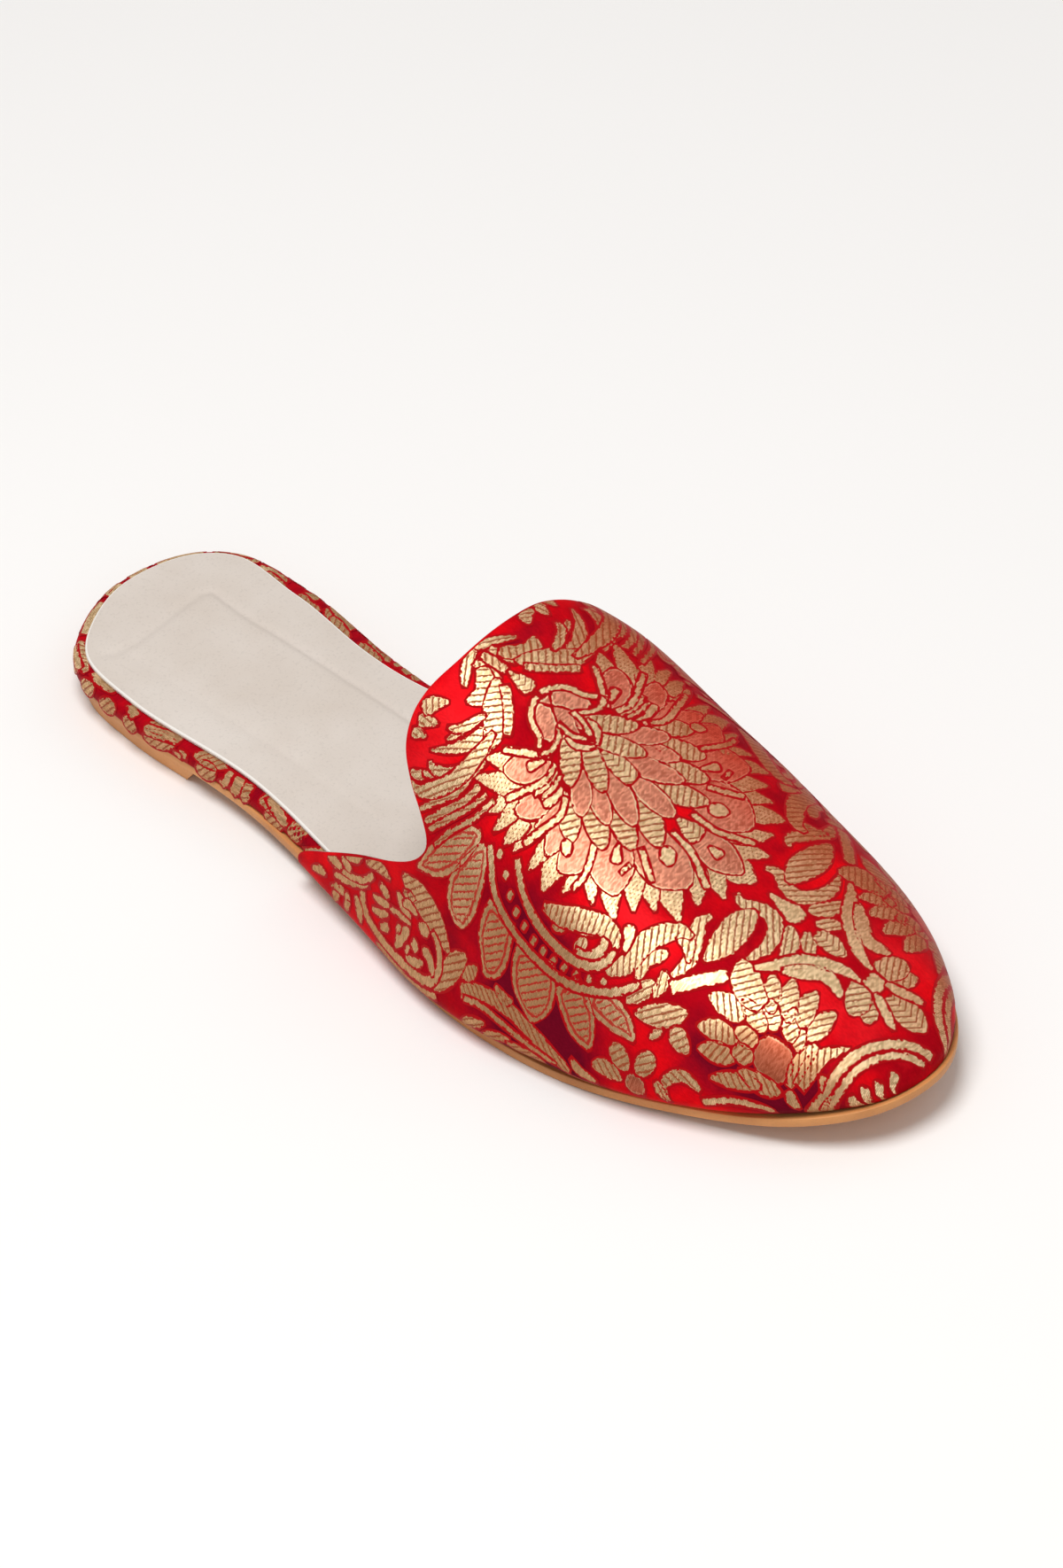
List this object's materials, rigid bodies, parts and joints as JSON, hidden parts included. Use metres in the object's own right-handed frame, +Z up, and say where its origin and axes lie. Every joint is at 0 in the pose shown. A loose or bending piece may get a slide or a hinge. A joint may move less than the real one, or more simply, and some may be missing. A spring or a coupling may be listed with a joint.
{
  "type": "backless mule shoe",
  "caption": "Flat backless mule for the right foot: leather sole and low heel, wrapped footbed, padded insole and a hollow fabric upper, open at the collar.",
  "frame": {"origin": "on the ground, under the middle of the whole shoe's length and width", "axes": "+Z up, toe towards -Y and heel towards +Y, outer (lateral) side of the foot towards -X and arch side towards +X"},
  "size_m": [0.0934, 0.25, 0.069],
  "materials": {
    "sole_leather": "natural tan, waxed edge",
    "heel_leather": "natural tan, waxed edge",
    "footbed_brocade": "red satin with woven gold",
    "insole_leather": "smooth cream, matte",
    "upper_brocade": "red satin with woven gold"
  },
  "bodies": {
    "root": {"outsole": "sole_leather", "heel_block": "heel_leather", "footbed": "footbed_brocade", "insole": "insole_leather", "upper": "upper_brocade"}
  },
  "joints": []
}
